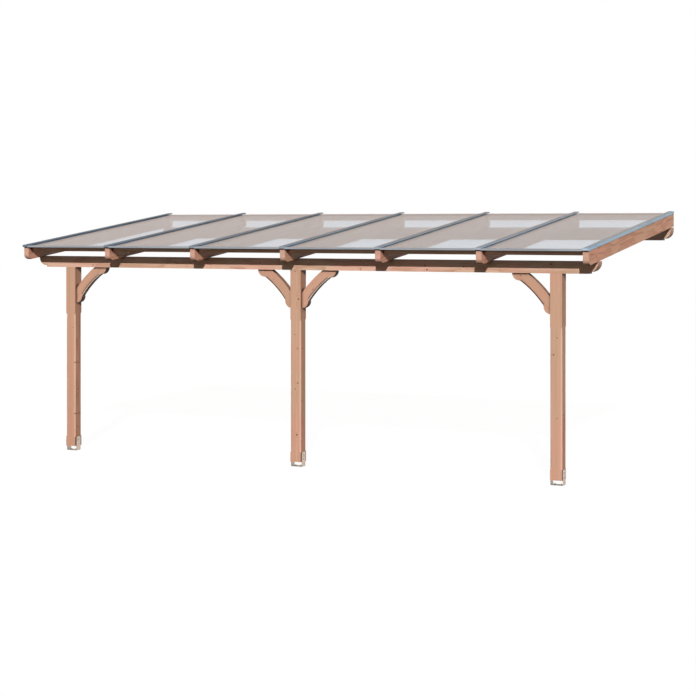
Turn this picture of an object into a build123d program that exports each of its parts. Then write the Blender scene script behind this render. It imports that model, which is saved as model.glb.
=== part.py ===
from build123d import *
import math
import os

# Attached patio cover: a timber lean-to roof that hangs on a wall at the rear and stands on three
# posts at the front, with seven rafters, six clear roof sheets and aluminium glazing rails.
# Millimetres, +Z up, +X to the right seen from the garden, +Y towards the wall.
# The origin is the centre of the wall purlin's back face, which lies on the wall plane Y = 0.

# Driving sizes of the whole roof
ROOF_DEPTH = 3000.0
ROOF_PITCH = 7.0
FRONT_OVERHANG = 287.0
CLEAR_HEIGHT = 2037.0
RAFTER_COUNT = 7
RAFTER_SPACING = 1070.0

# Timber sections
POST_SIDE = 120.0
POST_COUNT = 3
POST_INSET = 360.0
PURLIN_DEPTH = 120.0
PURLIN_HEIGHT = 120.0
WALL_PURLIN_HEIGHT = 140.0
RAFTER_WIDTH = 60.0
RAFTER_HEIGHT = 140.0
SEAT_DEPTH = 2.0
EAVES_BATTEN_HEIGHT = 52.0
EAVES_BATTEN_SETBACK = 55.0
WALL_BATTEN_HEIGHT = 60.0
BATTEN_THICKNESS = 30.0

# Stop chamfers on the posts
POST_CHAMFER = 13.0
CHAMFER_FOOT = 147.0
CHAMFER_HEAD = 1533.0
CHAMFER_STOP = 20.0

# Rounded ends of the purlins and of the rafter heads
PURLIN_END_RADIUS = 90.0
PURLIN_END_FLAT = 10.0
PURLIN_END_STEP = 17.0
RAFTER_END_RADIUS = 45.0
RAFTER_END_FLAT = 6.0
RAFTER_END_STEP = 6.0

# Curved braces between the posts and the front purlin
BRACE_LEG = 395.0
BRACE_THICKNESS = 70.0
BRACE_INNER_RADIUS = 1000.0
BRACE_BOARD = 104.0
BRACE_VOLUTE = 74.0
BRACE_NOTCH = 2.0
BRACE_CHAMFER = 8.0

# Post shoes, bent from flat steel
SHOE_THICKNESS = 5.0
SHOE_WIDTH = 75.0
SHOE_HEIGHT = 155.0
SHOE_BEND = 4.0
SHOE_CORNER = 10.0
SHOE_GAP = 46.0
ANCHOR_HOLE = 12.0
ANCHOR_SPACING = 60.0
SIDE_HOLE = 11.0
SIDE_HOLE_LOW = 85.0
SIDE_HOLE_HIGH = 130.0

# Clear roof sheets and what they lie on
SHEET_THICKNESS = 10.0
SHEET_GAP = 20.0
SHEET_OVERHANG = 20.0
SHEET_WALL_GAP = 75.0
GASKET_THICKNESS = 5.0

# Aluminium rails over the joints between the sheets
RAIL_WIDTH = 60.0
RAIL_HEIGHT = 11.0
RAIL_SHOULDER = 3.0
RAIL_WALL = 2.0
RAIL_WEB = 12.0
RAIL_SCREW_SLOT = 7.0
RAIL_END_PLATE = 3.0
EDGE_LIP = 4.0

# Aluminium channels that close the front and rear edges of the sheets
CHANNEL_WALL = 2.0
CHANNEL_DEPTH = 32.0
DRIP_NOSE = 3.0
WALL_CLEARANCE = 2.0

# Levels, worked out from the wall plane and the ground
PITCH = math.radians(ROOF_PITCH)
RISE = math.tan(PITCH)
RAFTER_PLUMB = RAFTER_HEIGHT / math.cos(PITCH)
TOTAL_WIDTH = (RAFTER_COUNT - 1) * RAFTER_SPACING + RAFTER_WIDTH
POST_FRONT = -(ROOF_DEPTH - FRONT_OVERHANG)
POST_CENTRE_Y = POST_FRONT + POST_SIDE / 2
WALL_PURLIN_TOP = WALL_PURLIN_HEIGHT / 2
UNDERSIDE_AT_WALL = WALL_PURLIN_TOP - SEAT_DEPTH + PURLIN_DEPTH * RISE
FRONT_PURLIN_TOP = UNDERSIDE_AT_WALL + POST_FRONT * RISE + SEAT_DEPTH
FRONT_PURLIN_BOTTOM = FRONT_PURLIN_TOP - PURLIN_HEIGHT
GROUND = FRONT_PURLIN_BOTTOM - CLEAR_HEIGHT
RAFTER_TOP_AT_WALL = UNDERSIDE_AT_WALL + RAFTER_PLUMB
POST_BOTTOM = GROUND + SHOE_THICKNESS + SHOE_GAP

# Places along the slope, measured up it from the wall plane on the rafters' top plane
HEAD_S = -ROOF_DEPTH / math.cos(PITCH)
SHEET_FRONT = HEAD_S - SHEET_OVERHANG
SHEET_REAR = -(SHEET_WALL_GAP + CHANNEL_WALL)
EAVES_BATTEN_S = HEAD_S + EAVES_BATTEN_SETBACK
WALL_BATTEN_S = SHEET_REAR - BATTEN_THICKNESS

# Rows of posts and rafters across the width
RAFTER_X = [(i - (RAFTER_COUNT - 1) / 2) * RAFTER_SPACING for i in range(RAFTER_COUNT)]
POST_SPAN = TOTAL_WIDTH - 2 * POST_INSET - POST_SIDE
POST_X = [(i / (POST_COUNT - 1) - 0.5) * POST_SPAN for i in range(POST_COUNT)]

# The rafters' top plane: x across, y up the slope from the wall plane, z square to the roof
ROOF = Plane(
    origin=(0, 0, RAFTER_TOP_AT_WALL),
    x_dir=(1, 0, 0),
    z_dir=(0, -math.sin(PITCH), math.cos(PITCH)),
)


def rafter_top(y):
    """Height of the rafters' top face at a distance y from the wall plane."""
    return RAFTER_TOP_AT_WALL + y * RISE


def save(shape, name):
    """Write one node of the part to its own file."""
    shape.label = name
    export_step(shape, f"parts/{name}.step")


def make_post(x):
    """One square post with stop chamfers on its four edges."""
    height = FRONT_PURLIN_BOTTOM - POST_BOTTOM
    post = Pos(x, POST_CENTRE_Y, POST_BOTTOM) * Box(
        POST_SIDE, POST_SIDE, height, align=(Align.CENTER, Align.CENTER, Align.MIN)
    )
    depth = POST_CHAMFER / math.sqrt(2)
    foot = GROUND + CHAMFER_FOOT
    head = GROUND + CHAMFER_HEAD
    slope = CHAMFER_STOP / depth
    for sx in (-1, 1):
        for sy in (-1, 1):
            corner = Plane(
                origin=(x + sx * POST_SIDE / 2, POST_CENTRE_Y + sy * POST_SIDE / 2, 0),
                x_dir=(sx, sy, 0),
                z_dir=(sy, -sx, 0),
            )
            outline = Polyline(
                (-depth, foot + CHAMFER_STOP),
                (-depth, head - CHAMFER_STOP),
                (depth, head + slope * depth),
                (depth, foot - slope * depth),
                close=True,
            )
            cutter = extrude(corner * make_face(outline), amount=POST_SIDE / 4, both=True)
            post -= cutter
    return post


def make_shoe(x):
    """One U-shaped post shoe: a base plate on the ground and two side plates on the post."""
    inner = POST_SIDE
    outer = inner + 2 * SHOE_THICKNESS
    section = Pos(x, GROUND) * Rectangle(outer, SHOE_HEIGHT, align=(Align.CENTER, Align.MIN))
    low = section.vertices().group_by(Axis.Y)[0]
    section = fillet(low, SHOE_BEND + SHOE_THICKNESS)
    hollow = Pos(x, GROUND + SHOE_THICKNESS) * Rectangle(
        inner, SHOE_HEIGHT, align=(Align.CENTER, Align.MIN)
    )
    hollow = fillet(hollow.vertices().group_by(Axis.Y)[0], SHOE_BEND)
    front = Plane(origin=(0, POST_CENTRE_Y, 0), x_dir=(1, 0, 0), z_dir=(0, -1, 0))
    shoe = extrude(front * (section - hollow), amount=SHOE_WIDTH / 2, both=True)
    tips = shoe.edges().filter_by(Axis.X).group_by(Axis.Z)[-1]
    shoe = chamfer(tips, SHOE_CORNER)
    for side in (-1, 1):
        shoe -= Pos(x + side * ANCHOR_SPACING / 2, POST_CENTRE_Y, GROUND) * Cylinder(
            ANCHOR_HOLE / 2, 3 * SHOE_THICKNESS
        )
    for height in (SIDE_HOLE_LOW, SIDE_HOLE_HIGH):
        shoe -= Pos(x, POST_CENTRE_Y, GROUND + height) * Rot(0, 90, 0) * Cylinder(
            SIDE_HOLE / 2, 2 * outer
        )
    return shoe


def brace_outline():
    """Outline of a curved brace; x runs out from the post, y down from the purlin."""
    half_turn = math.sqrt(2)
    far = BRACE_LEG - BRACE_VOLUTE
    low = BRACE_VOLUTE - BRACE_NOTCH
    # The inner arc passes the notch at both ends, which fixes its centre on the diagonal
    chord = (far - BRACE_NOTCH - low) * half_turn
    middle = (far - BRACE_NOTCH + low) / 2
    reach = math.sqrt(BRACE_INNER_RADIUS**2 - (chord / 2) ** 2)
    centre = middle + reach / half_turn
    outer_radius = BRACE_INNER_RADIUS + BRACE_BOARD
    foot = centre - math.sqrt(outer_radius**2 - centre**2)
    crown = centre - outer_radius / half_turn
    waist = centre - BRACE_INNER_RADIUS / half_turn
    round_mid = BRACE_VOLUTE / half_turn
    far_notch = far - BRACE_NOTCH
    edges = [
        ThreePointArc((foot, 0), (crown, crown), (0, foot)),
        Line((0, foot), (0, BRACE_LEG)),
        ThreePointArc((0, BRACE_LEG), (round_mid, far + round_mid), (BRACE_VOLUTE, far)),
        Line((BRACE_VOLUTE, far), (low, far_notch)),
        ThreePointArc((low, far_notch), (waist, waist), (far_notch, low)),
        Line((far_notch, low), (far, BRACE_VOLUTE)),
        ThreePointArc((far, BRACE_VOLUTE), (far + round_mid, round_mid), (BRACE_LEG, 0)),
        Line((BRACE_LEG, 0), (foot, 0)),
    ]
    return make_face(edges)


def make_brace(x, side):
    """A brace in the corner of a post face at x and the purlin; side is the way it leans out."""
    corner = Plane(
        origin=(x, POST_CENTRE_Y, FRONT_PURLIN_BOTTOM),
        x_dir=(side, 0, 0),
        z_dir=(0, side, 0),
    )
    brace = extrude(corner * brace_outline(), amount=BRACE_THICKNESS / 2, both=True)
    rounds = brace.edges().filter_by(GeomType.CIRCLE)
    arcs = [e for e in rounds if abs(e.radius - BRACE_INNER_RADIUS) < 1]
    return chamfer(arcs, BRACE_CHAMFER)


def purlin_outline(height):
    """Front view of a purlin, centred in X with its top at y = 0 and both lower ends rounded."""
    half = TOTAL_WIDTH / 2
    low = -height
    ledge = low + PURLIN_END_STEP
    turn = ledge + PURLIN_END_RADIUS
    diagonal = PURLIN_END_RADIUS * (1 - 1 / math.sqrt(2))
    step_x = half - PURLIN_END_RADIUS - PURLIN_END_FLAT
    round_x = half - PURLIN_END_RADIUS
    right = [
        Line((0, low), (step_x, low)),
        Line((step_x, low), (step_x, ledge)),
        Line((step_x, ledge), (round_x, ledge)),
        ThreePointArc((round_x, ledge), (half - diagonal, ledge + diagonal), (half, turn)),
        Line((half, turn), (half, 0)),
        Line((half, 0), (0, 0)),
    ]
    closing = Line((0, 0), (0, low))
    half_face = make_face(right + [closing])
    return half_face + mirror(half_face, about=Plane.YZ)


def make_purlin(front, top, height):
    """A purlin whose front face lies at Y = front and whose top lies at Z = top."""
    face = Plane(origin=(0, front, top), x_dir=(1, 0, 0), z_dir=(0, -1, 0))
    return extrude(face * purlin_outline(height), amount=-PURLIN_DEPTH)


def make_rafter(x):
    """One rafter with a rounded head, notched over both purlins and cut plumb at the wall."""
    front = -ROOF_DEPTH
    diagonal = RAFTER_END_RADIUS * (1 - 1 / math.sqrt(2))
    round_y = front + RAFTER_END_RADIUS
    step_y = round_y + RAFTER_END_FLAT
    step_foot = rafter_top(step_y) - RAFTER_PLUMB
    ledge = step_foot + RAFTER_END_STEP
    edges = [
        Line((0, rafter_top(0)), (front, rafter_top(front))),
        Line((front, rafter_top(front)), (front, ledge + RAFTER_END_RADIUS)),
        ThreePointArc(
            (front, ledge + RAFTER_END_RADIUS),
            (front + diagonal, ledge + diagonal),
            (round_y, ledge),
        ),
        Line((round_y, ledge), (step_y, ledge)),
        Line((step_y, ledge), (step_y, step_foot)),
        Line((step_y, step_foot), (0, UNDERSIDE_AT_WALL)),
        Line((0, UNDERSIDE_AT_WALL), (0, rafter_top(0))),
    ]
    side = Plane(origin=(x, 0, 0), x_dir=(0, 1, 0), z_dir=(1, 0, 0))
    rafter = extrude(side * make_face(edges), amount=RAFTER_WIDTH / 2, both=True)
    for front_face, top in ((POST_FRONT, FRONT_PURLIN_TOP), (-PURLIN_DEPTH, WALL_PURLIN_TOP)):
        seat = Pos(x, front_face, top) * Box(
            2 * RAFTER_WIDTH,
            PURLIN_DEPTH,
            RAFTER_HEIGHT,
            align=(Align.CENTER, Align.MIN, Align.MAX),
        )
        rafter -= seat
    return rafter


def roof_box(x, s, h, width, length, height):
    """A bar on the roof plane from its corner: x across, s up the slope, h above the rafters."""
    corner = (Align.MIN, Align.MIN, Align.MIN)
    return ROOF * Pos(x, s, h) * Box(width, length, height, align=corner)


def bays():
    """Left side of each clear bay between two rafters."""
    return [x + RAFTER_WIDTH / 2 for x in RAFTER_X[:-1]]


def make_battens(s, height):
    """A row of battens between the rafters, from s up the slope, flush with the rafters' tops."""
    clear = RAFTER_SPACING - RAFTER_WIDTH
    return [roof_box(x, s, -height, clear, BATTEN_THICKNESS, height) for x in bays()]


def make_sheet(index):
    """One clear roof sheet between the webs of two rails."""
    x = RAFTER_X[index] + SHEET_GAP / 2
    width = RAFTER_SPACING - SHEET_GAP
    length = SHEET_REAR - SHEET_FRONT
    return roof_box(x, SHEET_FRONT, GASKET_THICKNESS, width, length, SHEET_THICKNESS)


def rail_section(left_edge, right_edge):
    """Section of a rail; an edge flag gives that side a lip down over the edge of the sheet."""
    half = RAIL_WIDTH / 2
    base = GASKET_THICKNESS + SHEET_THICKNESS
    top = base + RAIL_HEIGHT
    shell = Pos(0, base) * Rectangle(RAIL_WIDTH, RAIL_HEIGHT, align=(Align.CENTER, Align.MIN))
    shell = chamfer(shell.vertices().group_by(Axis.Y)[-1], RAIL_SHOULDER)
    inner = Pos(0, base) * Rectangle(
        RAIL_WIDTH - 2 * RAIL_WALL, RAIL_HEIGHT - RAIL_WALL, align=(Align.CENTER, Align.MIN)
    )
    inner = chamfer(inner.vertices().group_by(Axis.Y)[-1], RAIL_SHOULDER - RAIL_WALL / 2)
    web = Pos(0, GASKET_THICKNESS) * Rectangle(
        RAIL_WEB, top - GASKET_THICKNESS - RAIL_WALL / 2, align=(Align.CENTER, Align.MIN)
    )
    slot = Pos(0, GASKET_THICKNESS) * Rectangle(
        RAIL_SCREW_SLOT, top - GASKET_THICKNESS - RAIL_WALL, align=(Align.CENTER, Align.MIN)
    )
    section = shell - inner + web - slot
    for flag, sign in ((left_edge, -1), (right_edge, 1)):
        if flag:
            section += Pos(sign * (half + EDGE_LIP / 2), 0) * Rectangle(
                EDGE_LIP, top - RAIL_SHOULDER, align=(Align.CENTER, Align.MIN)
            )
    return section


def make_rail(index):
    """One glazing rail, closed at its front end by a plate that reaches down to the sheets."""
    x = RAFTER_X[index]
    left_edge = index == 0
    right_edge = index == RAFTER_COUNT - 1
    section = rail_section(left_edge, right_edge)
    rear = -WALL_CLEARANCE
    across = Plane(origin=(x, rear, 0), x_dir=(1, 0, 0), z_dir=(0, -1, 0))
    rail = ROOF * extrude(across * section, amount=rear - SHEET_FRONT)
    left = RAIL_WIDTH / 2 + (EDGE_LIP if left_edge else 0)
    right = RAIL_WIDTH / 2 + (EDGE_LIP if right_edge else 0)
    height = SHEET_THICKNESS + RAIL_HEIGHT
    plate = roof_box(
        x - left,
        SHEET_FRONT - RAIL_END_PLATE,
        GASKET_THICKNESS,
        left + right,
        RAIL_END_PLATE,
        height,
    )
    return rail + plate


def channel_section(nose):
    """Section of an edge channel; x points away from the sheet, y square to the roof."""
    outer = Pos(CHANNEL_WALL, GASKET_THICKNESS - CHANNEL_WALL) * Rectangle(
        CHANNEL_DEPTH, SHEET_THICKNESS + 2 * CHANNEL_WALL, align=(Align.MAX, Align.MIN)
    )
    inner = Pos(0, GASKET_THICKNESS) * Rectangle(
        CHANNEL_DEPTH, SHEET_THICKNESS, align=(Align.MAX, Align.MIN)
    )
    section = outer - inner
    if nose > 0:
        section += Pos(0, GASKET_THICKNESS - CHANNEL_WALL - nose) * Rectangle(
            CHANNEL_WALL, nose, align=(Align.MIN, Align.MIN)
        )
    return section


def make_channels(s, outward, nose):
    """A row of edge channels, one to a bay between the rails, on the sheets' edges at s."""
    clear = RAFTER_SPACING - RAIL_WIDTH
    channels = []
    for x in RAFTER_X[:-1]:
        left = x + RAIL_WIDTH / 2
        start = left + clear if outward < 0 else left
        profile = Plane(origin=(start, s, 0), x_dir=(0, outward, 0), z_dir=(outward, 0, 0))
        channels.append(ROOF * extrude(profile * channel_section(nose), amount=clear))
    return channels


def make_rafter_gaskets():
    """One sealing strip on the top of each rafter, under the sheets and the rail's web."""
    length = -WALL_CLEARANCE - HEAD_S
    return [
        roof_box(x - RAFTER_WIDTH / 2, HEAD_S, 0, RAFTER_WIDTH, length, GASKET_THICKNESS)
        for x in RAFTER_X
    ]


def make_batten_gaskets():
    """Sealing strips on the battens, which fill the gap under the sheets and the channels."""
    clear = RAFTER_SPACING - RAFTER_WIDTH
    channel_end = SHEET_FRONT - CHANNEL_WALL + CHANNEL_DEPTH
    front = max(EAVES_BATTEN_S, channel_end)
    eaves_run = EAVES_BATTEN_S + BATTEN_THICKNESS - front
    thin = GASKET_THICKNESS - CHANNEL_WALL
    strips = []
    for x in bays():
        strips.append(roof_box(x, front, 0, clear, eaves_run, GASKET_THICKNESS))
        strips.append(roof_box(x, WALL_BATTEN_S, 0, clear, BATTEN_THICKNESS, thin))
    return strips


os.makedirs("parts", exist_ok=True)

post_names = ["left", "middle", "right"]
for name, x in zip(post_names, POST_X):
    save(make_post(x), f"post_{name}")
    save(make_shoe(x), f"post_shoe_{name}")

# Each brace is named for its post and the side of the post that it leans out to
POST_FACE = POST_SIDE / 2
save(make_brace(POST_X[0] + POST_FACE, 1), "brace_left_post_right_side")
save(make_brace(POST_X[1] - POST_FACE, -1), "brace_middle_post_left_side")
save(make_brace(POST_X[1] + POST_FACE, 1), "brace_middle_post_right_side")
save(make_brace(POST_X[2] - POST_FACE, -1), "brace_right_post_left_side")

save(make_purlin(POST_FRONT, FRONT_PURLIN_TOP, PURLIN_HEIGHT), "front_purlin")
save(make_purlin(-PURLIN_DEPTH, WALL_PURLIN_TOP, WALL_PURLIN_HEIGHT), "wall_purlin")

for number, x in enumerate(RAFTER_X, start=1):
    save(make_rafter(x), f"rafter_{number}")
    save(make_rail(number - 1), f"glazing_rail_{number}")

for number in range(1, RAFTER_COUNT):
    save(make_sheet(number - 1), f"roof_sheet_{number}")

save(Compound(make_battens(EAVES_BATTEN_S, EAVES_BATTEN_HEIGHT)), "eaves_battens")
save(Compound(make_battens(WALL_BATTEN_S, WALL_BATTEN_HEIGHT)), "wall_battens")
save(Compound(make_rafter_gaskets()), "rafter_gaskets")
save(Compound(make_batten_gaskets()), "batten_gaskets")
save(Compound(make_channels(SHEET_FRONT, -1, DRIP_NOSE)), "front_channels")
save(Compound(make_channels(SHEET_REAR, 1, 0)), "rear_channels")
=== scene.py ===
import logging
import math
import random
from dataclasses import dataclass, field, replace
from enum import Enum
from typing import Sequence

import bpy
from mathutils import Matrix, Vector


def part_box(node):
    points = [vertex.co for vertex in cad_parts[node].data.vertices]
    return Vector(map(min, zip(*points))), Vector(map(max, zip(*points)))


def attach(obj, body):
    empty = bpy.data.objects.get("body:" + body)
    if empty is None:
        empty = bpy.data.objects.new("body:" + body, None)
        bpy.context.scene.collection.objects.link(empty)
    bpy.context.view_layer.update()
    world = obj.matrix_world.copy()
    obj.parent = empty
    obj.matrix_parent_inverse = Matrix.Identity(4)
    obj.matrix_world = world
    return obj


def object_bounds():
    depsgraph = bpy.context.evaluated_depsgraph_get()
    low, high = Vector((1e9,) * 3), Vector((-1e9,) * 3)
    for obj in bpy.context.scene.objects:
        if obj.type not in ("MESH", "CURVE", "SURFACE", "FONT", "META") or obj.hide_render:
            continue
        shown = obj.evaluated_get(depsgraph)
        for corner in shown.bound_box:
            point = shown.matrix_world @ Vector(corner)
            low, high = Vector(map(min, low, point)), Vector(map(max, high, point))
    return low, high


# Looks of a timber patio cover: finishes, small fixings, light and camera
# Metres, with X to the right as seen from the front, Y towards the wall and Z up

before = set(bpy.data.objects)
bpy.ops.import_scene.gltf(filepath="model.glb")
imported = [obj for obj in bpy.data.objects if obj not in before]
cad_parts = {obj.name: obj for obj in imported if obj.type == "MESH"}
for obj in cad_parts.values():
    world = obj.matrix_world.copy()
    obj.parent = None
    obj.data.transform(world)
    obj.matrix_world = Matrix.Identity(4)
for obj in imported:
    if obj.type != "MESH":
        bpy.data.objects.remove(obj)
CAD_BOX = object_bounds()

LOG = logging.getLogger("patio_cover")
MM = 0.001
BODY = "root"
PITCH = math.radians(7.0)
EDGE_ANGLE = math.radians(40.0)
EDGE_STEPS = 2
SMOOTH_ANGLE = math.radians(32.0)
NOISE_ROUGHNESS = 0.55
HEXAGON = 6

Colour = tuple[float, float, float]
Point = tuple[float, float, float]
Range = tuple[float, float]
Pair = tuple[float, float]
Material = bpy.types.Material
Piece = bpy.types.Object
Socket = bpy.types.NodeSocket

WHITE: Colour = (1.0, 1.0, 1.0)
RIGHT: Point = (1.0, 0.0, 0.0)
TO_WALL: Point = (0.0, 1.0, 0.0)
UP: Point = (0.0, 0.0, 1.0)
FRONT_VIEW: Point = (1.0, 0.0, 1.0)
SIDE_VIEW: Point = (0.0, 1.0, 1.0)


class Grain(Enum):
    """The way the fibres run in a timber, and the way its glued boards are stacked."""

    UPRIGHT = (UP, TO_WALL)
    ACROSS = (RIGHT, UP)
    SLOPE = ((0.0, math.cos(PITCH), math.sin(PITCH)), (0.0, -math.sin(PITCH), math.cos(PITCH)))
    LEAN_RIGHT = ((math.sqrt(0.5), 0.0, math.sqrt(0.5)), TO_WALL)
    LEAN_LEFT = ((-math.sqrt(0.5), 0.0, math.sqrt(0.5)), TO_WALL)


class Branch(Enum):
    """The way a branch ran, by the view in which its knot is round."""

    FRONT_TO_BACK = FRONT_VIEW
    SIDE_TO_SIDE = SIDE_VIEW


@dataclass(frozen=True)
class Knot:
    """A small knot: its place on the timber's face, its radius and how its branch ran."""

    place: Point
    radius: float
    branch: Branch


class Graph:
    """Builds a node tree for a material or the surround."""

    def __init__(self, tree: bpy.types.NodeTree) -> None:
        """Empties a node tree and keeps it to build in."""
        self.tree = tree
        self.tree.nodes.clear()

    def add(self, kind: str, inputs: dict | None = None, **settings: object) -> bpy.types.Node:
        """Adds a node.

        Args:
            kind: Blender's type name of the node, without its ShaderNode prefix.
            inputs: Values or output sockets for the node's inputs, by name or number.
            settings: Properties of the node.

        Returns:
            The new node.
        """
        node = self.tree.nodes.new("ShaderNode" + kind)
        for key, value in settings.items():
            setattr(node, key, value)
        for key, value in (inputs or {}).items():
            if isinstance(value, Socket):
                self.tree.links.new(value, node.inputs[key])
            else:
                node.inputs[key].default_value = value
        return node

    def math(self, operation: str, *values: object, clamp: bool = False) -> Socket:
        """Adds a math node.

        Args:
            operation: Name of the operation, such as MULTIPLY.
            values: Its values or sockets.
            clamp: Whether the result is kept between 0 and 1.

        Returns:
            The result's socket.
        """
        inputs = dict(enumerate(values))
        return self.add("Math", inputs, operation=operation, use_clamp=clamp).outputs[0]

    def vector(self, operation: str, *values: object) -> Socket:
        """Adds a vector math node for vectors or sockets and returns the result's socket."""
        return self.add("VectorMath", dict(enumerate(values)), operation=operation).outputs[0]

    def dot(self, place: Socket, way: Sequence[float]) -> Socket:
        """Measures a place along a direction and returns the socket of the distance."""
        return self.add("VectorMath", {0: place, 1: tuple(way)}, operation="DOT_PRODUCT").outputs["Value"]

    def length(self, line: Socket) -> Socket:
        """Measures the length of a vector and returns its socket."""
        return self.add("VectorMath", {0: line}, operation="LENGTH").outputs["Value"]

    def fade(self, value: Socket, start: float, end: float) -> Socket:
        """Rises smoothly from 0 at the start to 1 at the end.

        Args:
            value: Socket to read.
            start: Value that gives 0.
            end: Value that gives 1.

        Returns:
            The result's socket.
        """
        inputs = {0: value, 1: start, 2: end, 3: 0.0, 4: 1.0}
        return self.add("MapRange", inputs, interpolation_type="SMOOTHSTEP").outputs[0]

    def turned_to(
        self, normal: Socket, way: Sequence[float], start: float = 0.8, end: float = 0.95
    ) -> Socket:
        """Finds the faces that look along a direction or against it.

        Args:
            normal: Socket of the surface's direction.
            way: Direction to compare it with.
            start: Share of the direction that gives 0.
            end: Share of the direction that gives 1.

        Returns:
            The result's socket.
        """
        return self.fade(self.math("ABSOLUTE", self.dot(normal, way)), start, end)

    def spread(self, value: Socket, low: float, high: float) -> Socket:
        """Stretches a 0 to 1 value over a range and returns the result's socket."""
        return self.add("MapRange", {0: value, 3: low, 4: high}).outputs[0]

    def noise(self, place: Socket, scale: float, detail: float = 2.0) -> Socket:
        """Adds a noise texture.

        Args:
            place: Socket of the place to read it at.
            scale: Waves to the metre.
            detail: Number of finer layers.

        Returns:
            The value's socket, around 0.5.
        """
        inputs = {"Vector": place, "Scale": scale, "Detail": detail, "Roughness": NOISE_ROUGHNESS}
        return self.add("TexNoise", inputs).outputs[0]

    def bump(self, height: Socket, strength: float, distance: float) -> Socket:
        """Raises a surface by a height from 0 to 1.

        Args:
            height: Socket of the height.
            strength: How much of the relief shows.
            distance: Depth of the relief in metres.

        Returns:
            The socket of the surface's new direction.
        """
        return self.add("Bump", {"Strength": strength, "Distance": distance, "Height": height}).outputs[0]

    def chance(self, number: Socket) -> Sequence[Socket]:
        """Turns a number into three random values between 0 and 1 and returns their sockets."""
        dice = self.add("TexWhiteNoise", {"W": number}, noise_dimensions="1D")
        return self.add("SeparateColor", {0: dice.outputs["Color"]}).outputs

    def ramp(self, factor: Socket, stops: Sequence[tuple[float, Colour]]) -> Socket:
        """Adds a colour ramp.

        Args:
            factor: Socket that drives the ramp.
            stops: Position and linear colour of each stop.

        Returns:
            The colour socket.
        """
        node = self.add("ValToRGB", {0: factor})
        elements = node.color_ramp.elements
        while len(elements) < len(stops):
            elements.new(0.5)
        for element, (position, colour) in zip(elements, stops):
            element.position = position
            element.color = (*colour, 1.0)
        return node.outputs[0]

    def mix(self, factor: object, first: object, second: object, blend: str = "MIX") -> Socket:
        """Adds a colour mix.

        Args:
            factor: Share of the second colour, as a value or socket.
            first: First colour or socket.
            second: Second colour or socket.
            blend: Blend type.

        Returns:
            The colour socket.
        """
        inputs = {0: factor}
        for index, value in ((6, first), (7, second)):
            inputs[index] = value if isinstance(value, Socket) else (*value, 1.0)
        return self.add("Mix", inputs, data_type="RGBA", blend_type=blend).outputs[2]

    def tinted(self, colour: Socket, share: Socket, tint: Colour) -> Socket:
        """Multiplies a colour by a tint over a share of it and returns the colour's socket."""
        return self.mix(share, colour, self.mix(1.0, colour, tint, "MULTIPLY"))

    def plain_sight(self) -> Socket:
        """Tells what is seen from what only lights a matt surface.

        Returns:
            A socket that is 1 for rays that come from the camera, also through a clear sheet or
            off metal, and 0 past a matt surface.
        """
        rays = self.add("LightPath").outputs
        seen = self.math("ADD", rays["Is Camera Ray"], rays["Is Glossy Ray"])
        seen = self.math("ADD", seen, rays["Is Transmission Ray"], clamp=True)
        matt = self.math("MINIMUM", rays["Diffuse Depth"], 1.0)
        return self.math("MULTIPLY", seen, self.math("SUBTRACT", 1.0, matt))

    def close(self, shader: str, inputs: dict, output: str = "OutputMaterial") -> None:
        """Adds the last shader and joins it to the output.

        Args:
            shader: Type name of the shader, without its prefix.
            inputs: Values or sockets for its inputs.
            output: Type name of the output node, without its prefix.
        """
        self.add(output, {0: self.add(shader, inputs).outputs[0]})


def new_material(name: str) -> tuple[Material, Graph]:
    """Makes an empty material.

    Args:
        name: Name of the material.

    Returns:
        The material and the builder of its node tree.
    """
    material = bpy.data.materials.new(name)
    material.use_nodes = True
    return material, Graph(material.node_tree)


@dataclass(frozen=True)
class Spot:
    """Where a timber's finish is worked out: the place on it, the way its surface faces there, the
    way its fibres run and the way across them."""

    place: Socket
    normal: Socket
    along: Vector
    aside: Vector


@dataclass(frozen=True)
class Cut:
    """How a place lies in a timber: across it and along it, how far up its own board, and the
    board's three random values."""

    x: Socket
    z: Socket
    in_board: Socket
    luck: Sequence[Socket]


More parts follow.
